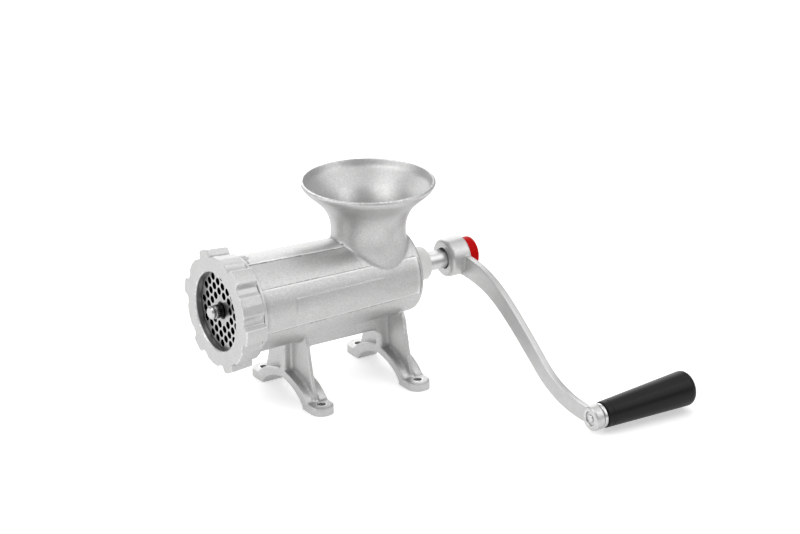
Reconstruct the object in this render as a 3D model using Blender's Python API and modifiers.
"""Hand crank meat grinder, size 22: barrel, hopper, feet, feed screw, knife, plate, ring nut and crank.

Machine coordinates: X runs along the barrel from the ring nut's front face (0) towards the crank,
Z is up from the underside of the feet, and Y = 0 is the barrel's axis.
The empty "machine" carries them to the object's own frame, whose origin is at the bottom centre
of its box.
"""
import math

import bmesh
import bpy
from mathutils import Matrix, Vector

MM = 0.001

# Barrel
AXIS_HEIGHT = 95.0 * MM
BARREL_MOUTH_X = 8.6 * MM
THREAD_R = 44.2 * MM
THREAD_END_X = 22.6 * MM
COLLAR_R = 45.8 * MM
COLLAR_END_X = 26.0 * MM
BARREL_FRONT_R = 43.5 * MM
BARREL_REAR_R = 38.0 * MM
BARREL_REAR_X = 192.5 * MM
SEAT_R = 41.3 * MM
KNIFE_CHAMBER_END_X = 23.0 * MM
BORE_FRONT_R = 36.6 * MM
BORE_REAR_R = 33.6 * MM
BORE_END_X = 184.5 * MM
BUSH_BORE_R = 12.8 * MM

# Raised band along the barrel's top and blank pad on its near side
TOP_BAND_WIDTH = 25.0 * MM
TOP_BAND_RISE = 0.9 * MM
PAD_X = (58.0 * MM, 150.0 * MM)
PAD_HALF_HEIGHT = 8.0 * MM
PAD_RISE = 0.9 * MM
PAD_TILT = math.radians(9.0)

# Hopper
HOPPER_X = 157.1 * MM
RIM_R = 60.0 * MM
RIM_RISE = 90.8 * MM
HOPPER_WALL = 3.2 * MM
THROAT_R = 27.0 * MM

# Keel and legs
KEEL_DROP = 52.5 * MM
KEEL_HALF_WIDTH = 4.0 * MM
LEG_X = (76.8 * MM, 177.4 * MM)
FOOT_Y = 49.55 * MM
FOOT_HALF_WIDTH = 10.8 * MM
FOOT_THICKNESS = 7.6 * MM
FOOT_HOLE_R = 3.6 * MM
FOOT_INNER_Y = 36.0 * MM
STRAP_CROWN = 24.5 * MM
STRAP_UNDER = 17.5 * MM
WEB_THICKNESS = 3.6 * MM
WEB_SHIFT = -1.0 * MM

# Ring nut
RING_LENGTH = 22.0 * MM
RING_DRAFT = 0.965
RING_LIP = 6.3 * MM
RING_OPENING_R = 35.0 * MM
RING_BORE_R = 44.6 * MM
RING_BASE_R = 49.0 * MM
RING_LUG_R = 55.0 * MM
RING_BUMP_R = 51.2 * MM
RING_LUGS = 6
RING_LUG_START = math.radians(52.0)
RING_LUG_TOP_HALF = math.radians(7.0)
RING_LUG_FOOT_HALF = math.radians(10.0)
RING_BUMP_HALF = math.radians(9.0)

# Plate
PLATE_R = 41.0 * MM
PLATE_FRONT_X = 6.6 * MM
PLATE_THICKNESS = 6.0 * MM
HOLE_R = 3.15 * MM
HOLE_PITCH = 8.54 * MM
HOLE_FIELD_R = 31.5 * MM
HOLE_CORE_R = 12.0 * MM
HOLE_ANGLE = math.radians(15.8)
PLATE_BORE_R = 8.0 * MM
PLATE_BUSH_BORE_R = 6.4 * MM
KEY_PIN_R = 1.6 * MM

# Knife
KNIFE_X = 12.9 * MM
KNIFE_THICKNESS = 8.5 * MM
KNIFE_TIP_R = 39.5 * MM
KNIFE_HUB_R = 15.0 * MM
KNIFE_BLADES = 4
KNIFE_SQUARE = 13.4 * MM

# Stud
STUD_FRONT_X = -5.6 * MM
STUD_R = 6.1 * MM
STUD_FACE_R = 4.65 * MM
STUD_SQUARE = 12.8 * MM
STUD_SQUARE_END_X = 22.4 * MM
STUD_TAIL_R = 6.0 * MM
STUD_END_X = 52.0 * MM

# Feed screw
SCREW_FRONT_X = 22.8 * MM
SCREW_REAR_X = 181.0 * MM
SCREW_CORE_FRONT_R = 17.0 * MM
SCREW_CORE_REAR_R = 14.0 * MM
SCREW_FLIGHT_R = 33.0 * MM
SCREW_PITCH = 34.0 * MM
SCREW_TURNS = 4
SCREW_STEPS = 20

# Shaft, bush and washers
SHAFT_R = 8.7 * MM
SHAFT_START_X = 130.0 * MM
SHAFT_END_X = 253.6 * MM
SHAFT_FLAT_X = 217.0 * MM
SHAFT_FLAT_HALF = 7.6 * MM
BUSH_R = 15.2 * MM
BUSH_TAIL_R = 12.4 * MM
BUSH_START_X = 184.9 * MM
BUSH_END_X = 216.2 * MM
RUNNING_GAP = 0.35 * MM
THRUST_WASHER_R = 20.0 * MM
DRIVE_PIN_X = 150.0 * MM
DRIVE_PIN_R = 2.5 * MM

# Crank
HUB_R = 17.6 * MM
HUB_FRONT_X = 236.5 * MM
HUB_REAR_X = 256.5 * MM
HUB_BORE_R = 9.6 * MM
HUB_SEAT_X = 241.0 * MM
ARM_FRONT_X = 250.0 * MM
ARM_REAR_X = 256.0 * MM
ARM_HUB_HALF = 10.5 * MM
ARM_MIDDLE_HALF = 8.3 * MM
ARM_EYE_HALF = 6.9 * MM
ARM_START = Vector((0.0, -5.0 * MM))
ARM_MIDDLE = Vector((-134.0 * MM, -62.0 * MM))
ARM_END = Vector((-214.0 * MM, -80.8 * MM))
ARM_SLOPES = (math.radians(1.5), math.radians(36.0), math.radians(-1.5))
ARM_HANDLES = (54.0 * MM, 83.0 * MM, 41.0 * MM, 7.0 * MM)
ARM_STEPS = 14
EYE_R = 11.3 * MM
EYE_FRONT_X = 247.6 * MM
EYE_REAR_X = 256.8 * MM
EYE_BORE_R = 3.6 * MM

# Knob
KNOB_R = 14.8 * MM
KNOB_FRONT_X = 256.9 * MM
KNOB_REAR_X = 267.5 * MM
KNOB_RECESS_R = 12.0 * MM
KNOB_RECESS_DEPTH = 1.9 * MM
KNOB_WASHER_R = 11.5 * MM
KNOB_WASHER_THICKNESS = 1.2 * MM
KNOB_SCREW_R = 3.9 * MM
KNOB_SCREW_START_X = 238.0 * MM
KNOB_SCREW_END_X = 264.0 * MM

# Grip
AXLE_R = 3.3 * MM
AXLE_BODY_R = 4.2 * MM
AXLE_HEAD_R = 7.0 * MM
AXLE_HEAD_X = (341.0 * MM, 346.0 * MM)
GRIP_WASHER_X = (257.1 * MM, 260.4 * MM)
GRIP_WASHER_R = 11.0 * MM
GRIP_START_X = 260.8 * MM
GRIP_END_X = 354.6 * MM
GRIP_SMALL_R = 11.8 * MM
GRIP_LARGE_R = 15.9 * MM
GRIP_PIVOT_X = 252.2 * MM
GRIP_TILT = math.radians(2.8)

CUT_MARGIN = 2.0 * MM
WELD = 0.00001


def clear_scene():
    """Remove every object and mesh left from before."""
    for old in list(bpy.data.objects):
        bpy.data.objects.remove(old, do_unlink=True)


def new_collection(name):
    collection = bpy.data.collections.new(name)
    bpy.context.scene.collection.children.link(collection)
    return collection


def new_material(name, colour, roughness, metallic):
    """A Principled finish of one colour."""
    material = bpy.data.materials.new(name)
    material.use_nodes = True
    shader = material.node_tree.nodes["Principled BSDF"]
    shader.inputs["Base Color"].default_value = (*colour, 1.0)
    shader.inputs["Roughness"].default_value = roughness
    shader.inputs["Metallic"].default_value = metallic
    material.diffuse_color = (*colour, 1.0)
    return material


clear_scene()
PARTS = new_collection("meat_grinder")
CUTTERS = new_collection("cutters")
MACHINE = bpy.data.objects.new("machine", None)
PARTS.objects.link(MACHINE)

FINISHES = {
    "tinned_iron": new_material("tinned_iron", (0.62, 0.62, 0.61), 0.42, 1.0),
    "turned_steel": new_material("turned_steel", (0.60, 0.60, 0.60), 0.25, 1.0),
    "dark_bush": new_material("dark_bush", (0.02, 0.02, 0.02), 0.5, 0.0),
    "pale_bush": new_material("pale_bush", (0.82, 0.82, 0.80), 0.4, 0.0),
    "red_plastic": new_material("red_plastic", (0.72, 0.01, 0.01), 0.35, 0.0),
    "black_plastic": new_material("black_plastic", (0.012, 0.012, 0.012), 0.35, 0.0),
}


def keep(obj, finish):
    """Put an object among the parts, with its finish, in machine coordinates."""
    PARTS.objects.link(obj)
    obj.data.materials.clear()
    obj.data.materials.append(FINISHES[finish])
    if obj.parent is None:
        obj.parent = MACHINE
    return obj


def keep_as_tool(obj):
    """Put an object among the cutters: it shapes a part and isn't one."""
    CUTTERS.objects.link(obj)
    obj.hide_render = True
    obj.display_type = "WIRE"
    obj.parent = MACHINE
    return obj


def boolean(part, tool, operation):
    """Join or cut a part with a tool."""
    modifier = part.modifiers.new(operation.lower() + "_" + tool.name, "BOOLEAN")
    modifier.operation = operation
    modifier.solver = "EXACT"
    modifier.object = tool
    weld = part.modifiers.new("weld_" + tool.name, "WELD")
    weld.merge_threshold = WELD


def cut(part, *tools):
    for tool in tools:
        boolean(part, keep_as_tool(tool), "DIFFERENCE")


def join(part, *tools):
    for tool in tools:
        boolean(part, keep_as_tool(tool), "UNION")


def object_from_bmesh(name, mesh_builder):
    mesh = bpy.data.meshes.new(name)
    mesh_builder.to_mesh(mesh)
    mesh_builder.free()
    return bpy.data.objects.new(name, mesh)


def smooth(obj, angle=35.0):
    """Shade round faces smooth and keep the edges sharper than the angle."""
    obj.data.shade_smooth()
    obj.data.set_sharp_from_angle(angle=math.radians(angle))
    return obj


def turned(name, profile, steps, ring=False, along="X", at=(0.0, 0.0)):
    """Turn a profile of (height along the axis, radius) points; outer side runs from high to low.

    A ring's profile closes on itself. A solid's profile starts and ends on the axis.
    along "X" turns about the line y, z = at; along "Z" turns about the line x, y = at.
    """
    mesh = bpy.data.meshes.new(name)
    points = [(radius, 0.0, height) for height, radius in profile]
    edges = [(i, i + 1) for i in range(len(points) - 1)]
    if ring:
        edges.append((len(points) - 1, 0))
    mesh.from_pydata(points, edges, [])
    obj = bpy.data.objects.new(name, mesh)
    screw = obj.modifiers.new("turn", "SCREW")
    screw.steps = steps
    screw.render_steps = steps
    screw.use_merge_vertices = True
    screw.merge_threshold = WELD
    screw.use_normal_calculate = False
    if along == "X":
        obj.rotation_euler = (0.0, math.pi / 2, 0.0)
        obj.location = (0.0, at[0], at[1])
    else:
        obj.location = (at[0], at[1], 0.0)
    return obj


def rod(name, radius, start, end, steps=24, at=(0.0, 0.0), chamfer=0.0, along="X"):
    """A plain round bar with an optional chamfer at each end."""
    side = [(end, radius), (start, radius)]
    if chamfer:
        side = [
            (end, radius - chamfer),
            (end - chamfer, radius),
            (start + chamfer, radius),
            (start, radius - chamfer),
        ]
    profile = [(end, 0.0), *side, (start, 0.0)]
    return turned(name, profile, steps, along=along, at=at)


def block(name, low, high):
    """A box between two corners."""
    builder = bmesh.new()
    bmesh.ops.create_cube(builder, size=1.0)
    size = [b - a for a, b in zip(low, high)]
    middle = [(a + b) / 2 for a, b in zip(low, high)]
    bmesh.ops.scale(builder, vec=size, verts=builder.verts)
    bmesh.ops.translate(builder, vec=middle, verts=builder.verts)
    return object_from_bmesh(name, builder)


def plate_from_outline(name, outline, low, high, axis="X"):
    """Extrude a closed outline of two-dimensional points between two planes.

    Across X the outline's points are (y, z); across Z they are (x, y); across Y they are (x, z).
    """
    place = {
        "X": lambda a, b, depth: (depth, a, b),
        "Y": lambda a, b, depth: (a, depth, b),
        "Z": lambda a, b, depth: (a, b, depth),
    }[axis]
    builder = bmesh.new()
    base = [builder.verts.new(place(a, b, low)) for a, b in outline]
    face = builder.faces.new(base)
    extruded = bmesh.ops.extrude_face_region(builder, geom=[face])
    top = [item for item in extruded["geom"] if isinstance(item, bmesh.types.BMVert)]
    shift = Vector(place(0.0, 0.0, high)) - Vector(place(0.0, 0.0, low))
    bmesh.ops.translate(builder, vec=shift, verts=top)
    bmesh.ops.recalc_face_normals(builder, faces=builder.faces)
    return object_from_bmesh(name, builder)


def arc(centre, radius, start, end, steps):
    """Points along an arc, both ends included."""
    points = []
    for i in range(steps + 1):
        angle = start + (end - start) * i / steps
        points.append((centre[0] + radius * math.cos(angle), centre[1] + radius * math.sin(angle)))
    return points


AXIS = (0.0, AXIS_HEIGHT)
EYE = (ARM_END.x, AXIS_HEIGHT + ARM_END.y)


# ---------------------------------------------------------------- body casting

def barrel_solid():
    edge = 3.0 * MM
    profile = [
        (BARREL_REAR_X, 0.0),
        (BARREL_REAR_X, BARREL_REAR_R - edge),
        (BARREL_REAR_X - 0.3 * edge, BARREL_REAR_R - 0.3 * edge),
        (BARREL_REAR_X - edge, BARREL_REAR_R),
        (COLLAR_END_X + 1.5 * MM, BARREL_FRONT_R),
        (COLLAR_END_X, COLLAR_R),
        (THREAD_END_X, COLLAR_R),
        (THREAD_END_X, THREAD_R),
        (BARREL_MOUTH_X + 1.0 * MM, THREAD_R),
        (BARREL_MOUTH_X, THREAD_R - 1.0 * MM),
        (BARREL_MOUTH_X, 0.0),
    ]
    return turned("body_casting", profile, 56, at=AXIS)


def barrel_bore():
    profile = [
        (BARREL_REAR_X + CUT_MARGIN, 0.0),
        (BARREL_REAR_X + CUT_MARGIN, BUSH_BORE_R),
        (BORE_END_X, BUSH_BORE_R),
        (BORE_END_X, BORE_REAR_R),
        (KNIFE_CHAMBER_END_X, BORE_FRONT_R),
        (KNIFE_CHAMBER_END_X, SEAT_R),
        (BARREL_MOUTH_X - CUT_MARGIN, SEAT_R),
        (BARREL_MOUTH_X - CUT_MARGIN, 0.0),
    ]
    return turned("bore_cutter", profile, 48, at=AXIS)


def hopper_outside():
    """(rise above the axis, radius) from the rim down to the neck."""
    return [
        (RIM_RISE, RIM_R - 1.6 * MM),
        (RIM_RISE - 0.7 * MM, RIM_R - 0.4 * MM),
        (RIM_RISE - 1.8 * MM, RIM_R),
        (RIM_RISE - 3.2 * MM, RIM_R - 0.6 * MM),
        (84.0 * MM, 57.2 * MM),
        (78.0 * MM, 50.4 * MM),
        (71.5 * MM, 43.4 * MM),
        (65.5 * MM, 38.9 * MM),
        (58.5 * MM, 35.5 * MM),
        (50.5 * MM, 33.7 * MM),
        (42.0 * MM, 33.5 * MM),
        (30.0 * MM, 34.6 * MM),
        (12.0 * MM, 34.6 * MM),
    ]


def hopper_solid():
    outside = hopper_outside()
    profile = [(outside[0][0], 0.0)] + outside + [(outside[-1][0], 0.0)]
    raised = [(AXIS_HEIGHT + rise, radius) for rise, radius in profile]
    return turned("hopper_solid", raised, 48, along="Z", at=(HOPPER_X, 0.0))


def hopper_hollow():
    inside = [(rise, radius - HOPPER_WALL) for rise, radius in hopper_outside()[4:10]]
    profile = [
        (RIM_RISE + CUT_MARGIN, 0.0),
        (RIM_RISE + CUT_MARGIN, RIM_R - HOPPER_WALL),
        (RIM_RISE - 1.2 * MM, RIM_R - HOPPER_WALL),
        *inside,
        (20.0 * MM, THROAT_R),
        (0.0, THROAT_R),
        (0.0, 0.0),
    ]
    raised = [(AXIS_HEIGHT + rise, radius) for rise, radius in profile]
    return turned("hopper_cutter", raised, 48, along="Z", at=(HOPPER_X, 0.0))


def barrel_radius(x):
    """The barrel's outer radius at a distance along its taper."""
    share = (x - COLLAR_END_X) / (BARREL_REAR_X - COLLAR_END_X)
    return BARREL_FRONT_R + (BARREL_REAR_R - BARREL_FRONT_R) * share


def top_band():
    """A low band cast along the barrel's top, from the collar to the hopper."""
    start = COLLAR_END_X + 1.0 * MM
    sleeve = [
        (HOPPER_X, 0.0),
        (HOPPER_X, barrel_radius(HOPPER_X) + TOP_BAND_RISE),
        (start, barrel_radius(start) + TOP_BAND_RISE),
        (start, 0.0),
    ]
    band = turned("top_band", sleeve, 56, at=AXIS)
    strip = block(
        "top_band_strip",
        (start - CUT_MARGIN, -TOP_BAND_WIDTH / 2, AXIS_HEIGHT + 30.0 * MM),
        (HOPPER_X + CUT_MARGIN, TOP_BAND_WIDTH / 2, AXIS_HEIGHT + 50.0 * MM),
    )
    keep_as_tool(strip)
    boolean(band, strip, "INTERSECT")
    return band


def side_pad():
    """A blank raised pad on the near side of the barrel."""
    surface = BARREL_FRONT_R - 1.3 * MM
    pad = block(
        "side_pad",
        (PAD_X[0], -surface - PAD_RISE, -PAD_HALF_HEIGHT),
        (PAD_X[1], -surface + 6.0 * MM, PAD_HALF_HEIGHT),
    )
    pad.data.transform(Matrix.Rotation(-PAD_TILT, 4, "X"))
    pad.data.transform(Matrix.Translation((0.0, 0.0, AXIS_HEIGHT)))
    return pad


def keel():
    """The rib under the barrel, which turns down into the middle of each leg."""
    front, rear = LEG_X
    bottom = AXIS_HEIGHT - KEEL_DROP
    foot = STRAP_CROWN - 2.0 * MM
    top = AXIS_HEIGHT - 37.0 * MM
    reach = FOOT_HALF_WIDTH - 0.6 * MM
    bend = 9.0 * MM
    outline = [(front - reach, top), (front - reach, foot), (front + reach, foot)]
    outline += arc((front + reach + bend, bottom - bend), bend, math.pi, math.pi / 2, 4)
    outline += arc((rear - reach - bend, bottom - bend), bend, math.pi / 2, 0.0, 4)
    outline += [(rear - reach, foot), (rear + reach, foot), (rear + reach, top)]
    return plate_from_outline("keel", outline, -KEEL_HALF_WIDTH, KEEL_HALF_WIDTH, axis="Y")


def leg_web(x):
    """The thin plate between the barrel and a pair of feet."""
    edge = [
        (24.0 * MM, 28.0 * MM),
        (30.2 * MM, 38.0 * MM),
        (32.2 * MM, 48.0 * MM),
        (35.2 * MM, 60.0 * MM),
    ]
    upper = [(y, AXIS_HEIGHT - drop) for y, drop in edge]
    lower = [
        (44.0 * MM, FOOT_THICKNESS - 1.0 * MM),
        (34.0 * MM, FOOT_THICKNESS),
        (8.0 * MM, STRAP_UNDER + 3.0 * MM),
    ]
    outline = upper + lower
    outline += [(-y, z) for y, z in reversed(outline)]
    middle = x + WEB_SHIFT
    return plate_from_outline("leg_web", outline, middle - WEB_THICKNESS / 2, middle + WEB_THICKNESS / 2)


def leg_strap(x):
    """The bent strap that joins a pair of feet below the web, with an arch under it."""
    upper = [
        (6.0 * MM, STRAP_CROWN),
        (16.0 * MM, STRAP_CROWN - 2.2 * MM),
        (27.0 * MM, STRAP_CROWN - 5.6 * MM),
        (37.0 * MM, STRAP_CROWN - 10.0 * MM),
        (44.0 * MM, FOOT_THICKNESS - 1.0 * MM),
    ]
    lower = [
        (44.0 * MM, 1.0 * MM),
        (35.2 * MM, 1.0 * MM),
        (31.0 * MM, 5.0 * MM),
        (24.0 * MM, 10.0 * MM),
        (14.0 * MM, STRAP_UNDER - 3.0 * MM),
        (5.0 * MM, STRAP_UNDER),
    ]
    outline = upper + lower
    outline += [(-y, z) for y, z in reversed(outline)]
    half = FOOT_HALF_WIDTH - 0.3 * MM
    return plate_from_outline("leg_strap", outline, x - half, x + half)


def foot_pad(x, side):
    """The flat foot at one end of a strap, with a round end about its bolt hole."""
    tip = arc((x, FOOT_Y), FOOT_HALF_WIDTH, 0.0, math.pi, 10)
    outline = [(x - FOOT_HALF_WIDTH, FOOT_INNER_Y), (x + FOOT_HALF_WIDTH, FOOT_INNER_Y)] + tip
    outline = [(a, side * b) for a, b in outline]
    return plate_from_outline("foot_pad", outline, 0.0, FOOT_THICKNESS, axis="Z")


def foot_hole(x, y):
    return rod(
        "foot_hole", FOOT_HOLE_R, -CUT_MARGIN, FOOT_THICKNESS + CUT_MARGIN, steps=16, along="Z", at=(x, y)
    )


def key_pin_groove():
    bottom = AXIS_HEIGHT - PLATE_R
    return rod(
        "key_pin_groove", KEY_PIN_R + RUNNING_GAP, BARREL_MOUTH_X - CUT_MARGIN,
        KNIFE_CHAMBER_END_X + 4.0 * MM, steps=12, at=(0.0, bottom),
    )


def make_body_casting():
    """Barrel, hopper, keel and feet in one casting, then its hollows."""
    body = barrel_solid()
    join(body, hopper_solid(), top_band(), side_pad(), keel())
    for x in LEG_X:
        join(body, leg_web(x), leg_strap(x))
        join(body, foot_pad(x, -1), foot_pad(x, 1))
    cut(body, barrel_bore(), hopper_hollow(), key_pin_groove())
    for x in LEG_X:
        for y in (-FOOT_Y, FOOT_Y):
            cut(body, foot_hole(x, y))
    return keep(body, "tinned_iron")


# ---------------------------------------------------------------- discharge end

def ring_outline():
    """Polar outline of the ring nut: high lugs with a low bump between each two."""
    step = 2 * math.pi / RING_LUGS
    lobe = [
        (-RING_LUG_FOOT_HALF, RING_BASE_R),
        (-RING_LUG_TOP_HALF, RING_LUG_R),
        (0.0, RING_LUG_R),
        (RING_LUG_TOP_HALF, RING_LUG_R),
        (RING_LUG_FOOT_HALF, RING_BASE_R),
        (step / 2 - 1.5 * RING_BUMP_HALF, RING_BASE_R),
        (step / 2 - RING_BUMP_HALF, RING_BUMP_R),
        (step / 2, RING_BUMP_R),
        (step / 2 + RING_BUMP_HALF, RING_BUMP_R),
        (step / 2 + 1.5 * RING_BUMP_HALF, RING_BASE_R),
    ]
    points = []
    for lug in range(RING_LUGS):
        for turn, radius in lobe:
            # angles are counted from the near side (-Y) towards the top
            angle = RING_LUG_START + lug * step + turn
            points.append((-radius * math.cos(angle), AXIS_HEIGHT + radius * math.sin(angle)))
    return points


def make_ring_nut():
    """The lugged nut, drafted towards the rear, with its lip, bore and opening."""
    ring = plate_from_outline("ring_nut", ring_outline(), 0.0, RING_LENGTH)
    for vertex in ring.data.vertices:
        if vertex.co.x > RING_LENGTH / 2:
            vertex.co.y *= RING_DRAFT
            vertex.co.z = AXIS_HEIGHT + (vertex.co.z - AXIS_HEIGHT) * RING_DRAFT
    hollow = [
        (RING_LENGTH + CUT_MARGIN, 0.0),
        (RING_LENGTH + CUT_MARGIN, RING_BORE_R),
        (RING_LIP, RING_BORE_R),
        (RING_LIP, RING_OPENING_R),
        (1.0 * MM, RING_OPENING_R),
        (-CUT_MARGIN, RING_OPENING_R + 3.0 * MM),
        (-CUT_MARGIN, 0.0),
    ]
    cut(ring, turned("ring_hollow", hollow, 56, at=AXIS))
    return keep(ring, "tinned_iron")


def hole_places():
    """Centres of the plate's holes: a hexagonal field round the middle, without its core."""
    across = Vector((math.cos(HOLE_ANGLE), math.sin(HOLE_ANGLE))) * HOLE_PITCH
    slanted = Vector((math.cos(HOLE_ANGLE + math.pi / 3), math.sin(HOLE_ANGLE + math.pi / 3))) * HOLE_PITCH
    rows = range(-4, 5)
    places = [across * i + slanted * j for i in rows for j in rows]
    return [place for place in places if HOLE_CORE_R < place.length < HOLE_FIELD_R]


def make_hole_plate():
    rear = PLATE_FRONT_X + PLATE_THICKNESS
    plate = rod("hole_plate", PLATE_R, PLATE_FRONT_X, rear, steps=56, at=AXIS)
    holes = bmesh.new()
    for place in hole_places():
        made = bmesh.ops.create_cone(
            holes, cap_ends=True, segments=8, radius1=HOLE_R, radius2=HOLE_R,
            depth=PLATE_THICKNESS + 2 * CUT_MARGIN,
        )
        turn = Matrix.Rotation(math.pi / 2, 4, "Y")
        centre = (PLATE_FRONT_X + PLATE_THICKNESS / 2, place.x, AXIS_HEIGHT + place.y)
        bmesh.ops.transform(holes, matrix=Matrix.Translation(centre) @ turn, verts=made["verts"])
    notch = rod(
        "plate_notch", KEY_PIN_R + RUNNING_GAP, PLATE_FRONT_X - CUT_MARGIN, rear + CUT_MARGIN,
        steps=12, at=(0.0, AXIS_HEIGHT - PLATE_R),
    )
    bore = rod("plate_bore", PLATE_BORE_R, PLATE_FRONT_X - CUT_MARGIN, rear + CUT_MARGIN, steps=24, at=AXIS)
    cut(plate, object_from_bmesh("plate_holes", holes), bore, notch)
    return keep(plate, "turned_steel")


def make_plate_bush():
    front = PLATE_FRONT_X
    rear = PLATE_FRONT_X + PLATE_THICKNESS
    outer = PLATE_BORE_R - 0.3 * MM
    profile = [(rear, outer), (front, outer), (front, PLATE_BUSH_BORE_R), (rear, PLATE_BUSH_BORE_R)]
    return keep(turned("plate_bush", profile, 24, ring=True, at=AXIS), "dark_bush")


def make_key_pin():
    pin = rod(
        "plate_key_pin", KEY_PIN_R, PLATE_FRONT_X + 1.0 * MM, KNIFE_CHAMBER_END_X + 3.6 * MM,
        steps=12, at=(0.0, AXIS_HEIGHT - PLATE_R),
    )
    return keep(pin, "turned_steel")


def knife_outline():
    """Four curved blades round a hub, leading edges straight and trailing edges swept."""
    step = 2 * math.pi / KNIFE_BLADES
    blade = [
        (0.00, KNIFE_HUB_R),
        (0.10, KNIFE_TIP_R),
        (0.36, KNIFE_TIP_R),
        (0.52, 0.72 * KNIFE_TIP_R),
        (0.85, 1.08 * KNIFE_HUB_R),
        (1.20, KNIFE_HUB_R),
    ]
    points = []
    for number in range(KNIFE_BLADES):
        for turn, radius in blade:
            angle = number * step + turn
            points.append((radius * math.cos(angle), AXIS_HEIGHT + radius * math.sin(angle)))
    return points


def square_bar(name, side, start, end):
    half = side / 2
    return block(name, (start, -half, AXIS_HEIGHT - half), (end, half, AXIS_HEIGHT + half))


def make_knife():
    rear = KNIFE_X + KNIFE_THICKNESS
    knife = plate_from_outline("cutting_knife", knife_outline(), KNIFE_X, rear)
    cut(knife, square_bar("knife_square", KNIFE_SQUARE, KNIFE_X - CUT_MARGIN, rear + CUT_MARGIN))
    return knife


# ---------------------------------------------------------------- drive

def make_stud():
    """Round journal in the plate, square for the knife, and a round tail in the feed screw."""
    chamfer = STUD_R - STUD_FACE_R
    groove = 0.6 * MM
    profile = [
        (STUD_END_X, 0.0),
        (STUD_END_X, STUD_TAIL_R),
        (STUD_SQUARE_END_X - 3.0 * MM, STUD_TAIL_R),
        (STUD_SQUARE_END_X - 3.0 * MM, STUD_R),
        (STUD_FRONT_X + 4.6 * MM, STUD_R),
        (STUD_FRONT_X + 4.2 * MM, STUD_R - groove),
        (STUD_FRONT_X + 3.2 * MM, STUD_R - groove),
        (STUD_FRONT_X + 2.8 * MM, STUD_R),
        (STUD_FRONT_X + chamfer, STUD_R),
        (STUD_FRONT_X, STUD_FACE_R),
        (STUD_FRONT_X, 0.0),
    ]
    stud = turned("plate_stud", profile, 24, at=AXIS)
    join(stud, square_bar("stud_square", STUD_SQUARE, KNIFE_X + 0.3 * MM, STUD_SQUARE_END_X))
    return stud


def flight_section(angle_share):
    """Radius of the flight's crest, which drops in towards the front and rear ends."""
    ramp = 0.06
    rise = min(1.0, angle_share / ramp, (1.0 - angle_share) / ramp)
    return SCREW_CORE_FRONT_R + (SCREW_FLIGHT_R - SCREW_CORE_FRONT_R) * max(rise, 0.12)


def make_flight():
    """A helical ridge, thick at its root and thin at its crest, lofted round the core."""
    sections = SCREW_TURNS * SCREW_STEPS
    root_half = 7.0 * MM
    crest_half = 2.2 * MM
    root_r = SCREW_CORE_REAR_R - 4.0 * MM
    start = SCREW_FRONT_X + root_half + 0.5 * MM
    builder = bmesh.new()
    rings = []
    for i in range(sections + 1):
        angle = 2 * math.pi * i / SCREW_STEPS
        middle = start + SCREW_PITCH * i / SCREW_STEPS
        crest_r = flight_section(i / sections)
        radial = Vector((0.0, math.cos(angle), math.sin(angle)))
        centre = Vector((middle, 0.0, AXIS_HEIGHT))
        corners = [
            (-root_half, root_r),
            (-crest_half, crest_r),
            (crest_half, crest_r),
            (root_half, root_r),
        ]
        rings.append([
            builder.verts.new(centre + Vector((along, 0.0, 0.0)) + radial * radius)
            for along, radius in corners
        ])
    for ring, following in zip(rings, rings[1:]):
        for k in range(4):
            builder.faces.new((ring[k], ring[(k + 1) % 4], following[(k + 1) % 4], following[k]))
    builder.faces.new(rings[0])
    builder.faces.new(reversed(rings[-1]))
    bmesh.ops.triangulate(builder, faces=builder.faces)
    bmesh.ops.recalc_face_normals(builder, faces=builder.faces)
    return object_from_bmesh("screw_flight", builder)


def make_feed_screw():
    core = [
        (SCREW_REAR_X, 0.0),
        (SCREW_REAR_X, SCREW_CORE_REAR_R),
        (SCREW_FRONT_X, SCREW_CORE_FRONT_R),
        (SCREW_FRONT_X, 0.0),
    ]
    screw = turned("feed_screw", core, 28, at=AXIS)
    join(screw, make_flight())
    stud_hole = rod(
        "stud_hole", STUD_TAIL_R + RUNNING_GAP, SCREW_FRONT_X - CUT_MARGIN, STUD_END_X + 0.5 * MM, at=AXIS
    )
    shaft_hole = rod(
        "shaft_hole", SHAFT_R + RUNNING_GAP, SHAFT_START_X - 0.5 * MM, SCREW_REAR_X + CUT_MARGIN, at=AXIS
    )
    pin_hole = rod(
        "pin_hole", DRIVE_PIN_R + RUNNING_GAP, AXIS_HEIGHT - 30.0 * MM, AXIS_HEIGHT + 30.0 * MM,
        steps=12, along="Z", at=(DRIVE_PIN_X, 0.0),
    )
    cut(screw, stud_hole, shaft_hole, pin_hole)
    return screw


def make_shaft():
    """Round in the bush, with two flats from the bush to the hub, and a threaded end for the knob."""
    shaft = rod("drive_shaft", SHAFT_R, SHAFT_START_X, SHAFT_END_X, steps=28, at=AXIS, chamfer=0.8 * MM)
    for side in (-1, 1):
        low, high = sorted((side * SHAFT_FLAT_HALF, side * 2 * SHAFT_FLAT_HALF))
        flat = block(
            "shaft_flat", (SHAFT_FLAT_X, -2 * SHAFT_R, low + AXIS_HEIGHT),
            (SHAFT_END_X + CUT_MARGIN, 2 * SHAFT_R, high + AXIS_HEIGHT),
        )
        cut(shaft, flat)
    thread_hole = rod(
        "thread_hole", KNOB_SCREW_R + RUNNING_GAP, KNOB_SCREW_START_X - 1.0 * MM, SHAFT_END_X + CUT_MARGIN,
        steps=16, at=AXIS,
    )
    pin_hole = rod(
        "shaft_pin_hole", DRIVE_PIN_R + RUNNING_GAP, AXIS_HEIGHT - 30.0 * MM, AXIS_HEIGHT + 30.0 * MM,
        steps=12, along="Z", at=(DRIVE_PIN_X, 0.0),
    )
    cut(shaft, thread_hole, pin_hole)
    return shaft


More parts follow.
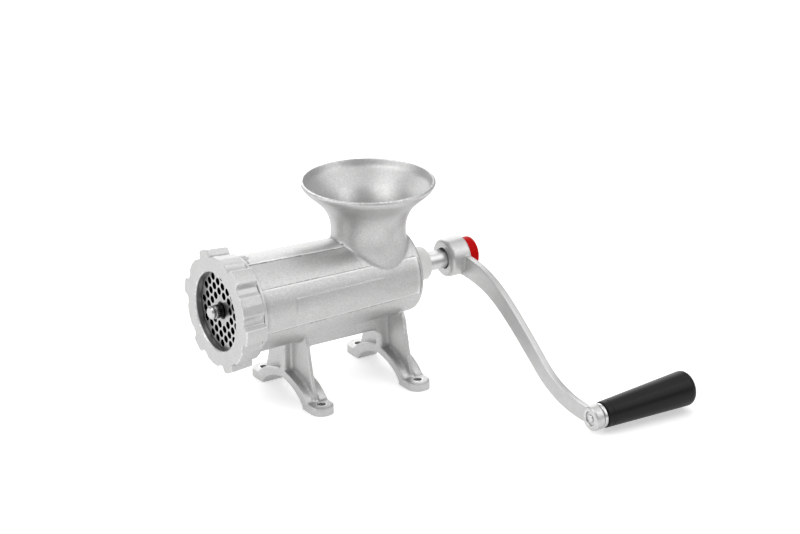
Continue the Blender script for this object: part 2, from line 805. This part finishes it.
def make_drive_pin():
    half = SCREW_CORE_REAR_R - 1.0 * MM
    return rod(
        "drive_pin", DRIVE_PIN_R, AXIS_HEIGHT - half, AXIS_HEIGHT + half, steps=12, along="Z",
        at=(DRIVE_PIN_X, 0.0),
    )


def make_thrust_washer():
    front = SCREW_REAR_X + 0.4 * MM
    rear = BORE_END_X - 0.4 * MM
    bore = SHAFT_R + RUNNING_GAP
    profile = [(rear, THRUST_WASHER_R), (front, THRUST_WASHER_R), (front, bore), (rear, bore)]
    return turned("thrust_washer", profile, 28, ring=True, at=AXIS)


def make_shaft_bush():
    bore = SHAFT_R + RUNNING_GAP
    shoulder_x = BARREL_REAR_X + 0.3 * MM
    edge = 2.0 * MM
    profile = [
        (BUSH_END_X, BUSH_R - edge),
        (BUSH_END_X - 0.3 * edge, BUSH_R - 0.3 * edge),
        (BUSH_END_X - edge, BUSH_R),
        (shoulder_x, BUSH_R),
        (shoulder_x, BUSH_TAIL_R),
        (BUSH_START_X, BUSH_TAIL_R),
        (BUSH_START_X, bore),
        (BUSH_END_X, bore),
    ]
    return keep(turned("shaft_bush", profile, 32, ring=True, at=AXIS), "pale_bush")


# ---------------------------------------------------------------- crank

def bezier(points, share):
    """A point of a cubic curve and its direction."""
    a, b, c, d = points
    rest = 1.0 - share
    place = a * rest**3 + b * 3 * rest**2 * share + c * 3 * rest * share**2 + d * share**3
    direction = (b - a) * rest**2 + (c - b) * 2 * rest * share + (d - c) * share**2
    return place, direction.normalized()


def arm_outline():
    """The S-shaped arm: a double curve from hub to eye, with its width on both sides."""
    away = [Vector((-math.cos(slope), -math.sin(slope))) for slope in ARM_SLOPES]
    upper_curve = (
        ARM_START,
        ARM_START + away[0] * ARM_HANDLES[0],
        ARM_MIDDLE - away[1] * ARM_HANDLES[1],
        ARM_MIDDLE,
    )
    lower_curve = (
        ARM_MIDDLE,
        ARM_MIDDLE + away[1] * ARM_HANDLES[2],
        ARM_END - away[2] * ARM_HANDLES[3],
        ARM_END,
    )
    upper_edge = []
    lower_edge = []
    for curve, from_half, to_half in (
        (upper_curve, ARM_HUB_HALF, ARM_MIDDLE_HALF),
        (lower_curve, ARM_MIDDLE_HALF, ARM_EYE_HALF),
    ):
        for i in range(ARM_STEPS):
            share = i / ARM_STEPS
            place, direction = bezier(curve, share)
            half = from_half + (to_half - from_half) * share
            side = Vector((direction.y, -direction.x)) * half
            upper_edge.append(place + side)
            lower_edge.append(place - side)
    outline = upper_edge + lower_edge[::-1]
    return [(point.x, AXIS_HEIGHT + point.y) for point in outline]


def tilt_with_grip(piece):
    """Turn a piece about the middle of the eye, so that it points up along the grip's axis."""
    centre = Matrix.Translation((GRIP_PIVOT_X, *EYE))
    tilt = centre @ Matrix.Rotation(-GRIP_TILT, 4, "Y") @ centre.inverted()
    piece.matrix_basis = tilt @ piece.matrix_basis
    return piece


def make_crank_arm():
    """Hub, S-shaped bar and eye in one casting; the hub's bore fits the shaft's flats."""
    edge = 2.5 * MM
    hub_profile = [
        (HUB_REAR_X, 0.0),
        (HUB_REAR_X, HUB_R - 1.0 * MM),
        (HUB_REAR_X - 1.0 * MM, HUB_R),
        (HUB_FRONT_X + edge, HUB_R),
        (HUB_FRONT_X + 0.3 * edge, HUB_R - 0.3 * edge),
        (HUB_FRONT_X, HUB_R - edge),
        (HUB_FRONT_X, 0.0),
    ]
    arm = turned("crank_arm", hub_profile, 36, at=AXIS)
    bar = plate_from_outline("arm_bar", arm_outline(), ARM_FRONT_X, ARM_REAR_X)
    eye = rod("arm_eye", EYE_R, EYE_FRONT_X, EYE_REAR_X, steps=28, at=EYE, chamfer=1.2 * MM)
    join(arm, bar, tilt_with_grip(eye))
    mouth = rod("hub_mouth", HUB_BORE_R, HUB_FRONT_X - CUT_MARGIN, HUB_SEAT_X, steps=28, at=AXIS)
    through = rod(
        "hub_bore", SHAFT_R + RUNNING_GAP, HUB_FRONT_X, HUB_REAR_X + CUT_MARGIN, steps=28, at=AXIS
    )
    reach = 2 * SHAFT_R
    slot = block(
        "hub_slot", (HUB_FRONT_X - 2 * CUT_MARGIN, -reach, AXIS_HEIGHT - SHAFT_FLAT_HALF - RUNNING_GAP),
        (HUB_REAR_X + 2 * CUT_MARGIN, reach, AXIS_HEIGHT + SHAFT_FLAT_HALF + RUNNING_GAP),
    )
    keep_as_tool(slot)
    boolean(through, slot, "INTERSECT")
    before_eye = EYE_FRONT_X - CUT_MARGIN
    dish = rod("eye_dish", 6.6 * MM, before_eye, EYE_FRONT_X + 1.4 * MM, steps=20, at=EYE)
    eye_bore = rod("eye_bore", EYE_BORE_R, before_eye, EYE_REAR_X + CUT_MARGIN, steps=20, at=EYE)
    cut(arm, mouth, through, tilt_with_grip(dish), tilt_with_grip(eye_bore))
    return arm


def make_knob_washer():
    front = HUB_REAR_X + 0.4 * MM
    rear = front + KNOB_WASHER_THICKNESS
    bore = KNOB_SCREW_R + RUNNING_GAP
    profile = [(rear, KNOB_WASHER_R), (front, KNOB_WASHER_R), (front, bore), (rear, bore)]
    return turned("knob_washer", profile, 24, ring=True, at=AXIS)


def make_knob():
    edge = 2.2 * MM
    profile = [
        (KNOB_REAR_X, 0.0),
        (KNOB_REAR_X, KNOB_R - edge),
        (KNOB_REAR_X - 0.3 * edge, KNOB_R - 0.3 * edge),
        (KNOB_REAR_X - edge, KNOB_R),
        (KNOB_FRONT_X, KNOB_R),
        (KNOB_FRONT_X, KNOB_RECESS_R),
        (KNOB_FRONT_X + KNOB_RECESS_DEPTH, KNOB_RECESS_R),
        (KNOB_FRONT_X + KNOB_RECESS_DEPTH, KNOB_SCREW_R + 0.3 * MM),
        (KNOB_SCREW_END_X + 0.3 * MM, KNOB_SCREW_R + 0.3 * MM),
        (KNOB_SCREW_END_X + 0.3 * MM, 0.0),
    ]
    return turned("clamp_knob", profile, 32, at=AXIS)


def make_knob_screw():
    return rod("knob_screw", KNOB_SCREW_R, KNOB_SCREW_START_X, KNOB_SCREW_END_X, steps=16, at=AXIS)


# ---------------------------------------------------------------- grip

def make_grip_axle():
    """A shouldered bolt: head in the grip's far end, body in its bore, end peened in the eye's dish."""
    head_front, head_rear = AXLE_HEAD_X
    neck_x = EYE_REAR_X + 0.2 * MM
    peen_x = EYE_FRONT_X + 1.0 * MM
    profile = [
        (head_rear, 0.0),
        (head_rear, AXLE_HEAD_R),
        (head_front, AXLE_HEAD_R),
        (head_front, AXLE_BODY_R),
        (neck_x, AXLE_BODY_R),
        (neck_x, AXLE_R),
        (peen_x, AXLE_R),
        (peen_x - 0.6 * MM, 0.6 * AXLE_R),
        (peen_x - 0.6 * MM, 0.0),
    ]
    return tilt_with_grip(turned("grip_axle", profile, 20, at=EYE))


def make_grip_washer():
    front, rear = GRIP_WASHER_X
    bore = AXLE_BODY_R + RUNNING_GAP
    edge = 0.8 * MM
    profile = [
        (rear, GRIP_WASHER_R - edge),
        (rear - edge, GRIP_WASHER_R),
        (front + edge, GRIP_WASHER_R),
        (front, GRIP_WASHER_R - edge),
        (front, bore),
        (rear, bore),
    ]
    return tilt_with_grip(turned("grip_washer", profile, 28, ring=True, at=EYE))


def grip_outside():
    """The grip's outline: a long cone with a round far end."""
    length = GRIP_END_X - GRIP_START_X
    far_end = [(1.000, 0.62), (0.993, 0.76), (0.975, 0.89), (0.955, 0.965), (0.925, 1.00)]
    near_edge = 1.0 * MM
    return [
        *((GRIP_START_X + length * share, GRIP_LARGE_R * swell) for share, swell in far_end),
        (GRIP_START_X + near_edge, GRIP_SMALL_R),
        (GRIP_START_X, GRIP_SMALL_R - near_edge),
    ]


def make_grip():
    """A tapered handle with a through bore and a counterbore for the bolt's head."""
    bore = AXLE_BODY_R + RUNNING_GAP
    counterbore = AXLE_HEAD_R + 0.8 * MM
    seat_x = AXLE_HEAD_X[0] - 0.4 * MM
    inside = [
        (GRIP_START_X, bore),
        (seat_x, bore),
        (seat_x, counterbore),
        (GRIP_END_X, counterbore),
    ]
    return tilt_with_grip(turned("grip", grip_outside() + inside, 32, ring=True, at=EYE))


def pivot(name, at, parent=None):
    """An empty on a joint's axis, which carries the pieces that turn about it."""
    empty = bpy.data.objects.new(name, None)
    empty.location = (0.0, at[0], at[1])
    empty.parent = parent or MACHINE
    PARTS.objects.link(empty)
    return empty


def hang(piece, empty, finish, at):
    """Place a piece under a pivot without moving it in machine coordinates."""
    piece.location = piece.location - Vector((0.0, at[0], at[1]))
    piece.parent = empty
    return keep(piece, finish)


def centre_machine():
    """Set the object's origin at the bottom centre of its box."""
    grip_end = max(
        GRIP_PIVOT_X + (x - GRIP_PIVOT_X) * math.cos(GRIP_TILT) + radius * math.sin(GRIP_TILT)
        for x, radius in grip_outside()
    )
    stud_to_grip = (STUD_FRONT_X + grip_end) / 2
    grip_side = EYE[0] - GRIP_LARGE_R
    foot_side = FOOT_Y + FOOT_HALF_WIDTH
    MACHINE.location = (-stud_to_grip, -(grip_side + foot_side) / 2, 0.0)


def main():
    make_body_casting()
    make_shaft_bush()
    make_key_pin()
    make_ring_nut()
    make_hole_plate()
    make_plate_bush()

    crank_axis = pivot("crank_axis", AXIS)
    for piece, finish in (
        (make_knife(), "turned_steel"),
        (make_stud(), "turned_steel"),
        (make_feed_screw(), "tinned_iron"),
        (make_shaft(), "turned_steel"),
        (make_drive_pin(), "turned_steel"),
        (make_thrust_washer(), "pale_bush"),
        (make_crank_arm(), "tinned_iron"),
        (make_knob_washer(), "turned_steel"),
        (make_knob(), "red_plastic"),
        (make_knob_screw(), "turned_steel"),
        (make_grip_axle(), "turned_steel"),
        (make_grip_washer(), "turned_steel"),
    ):
        hang(piece, crank_axis, finish, AXIS)

    grip_axis = pivot("grip_axis", (EYE[0] - AXIS[0], EYE[1] - AXIS[1]), crank_axis)
    hang(make_grip(), grip_axis, "black_plastic", EYE)

    for part in PARTS.objects:
        if part.type == "MESH" and len(part.data.polygons):
            smooth(part)
    centre_machine()


main()
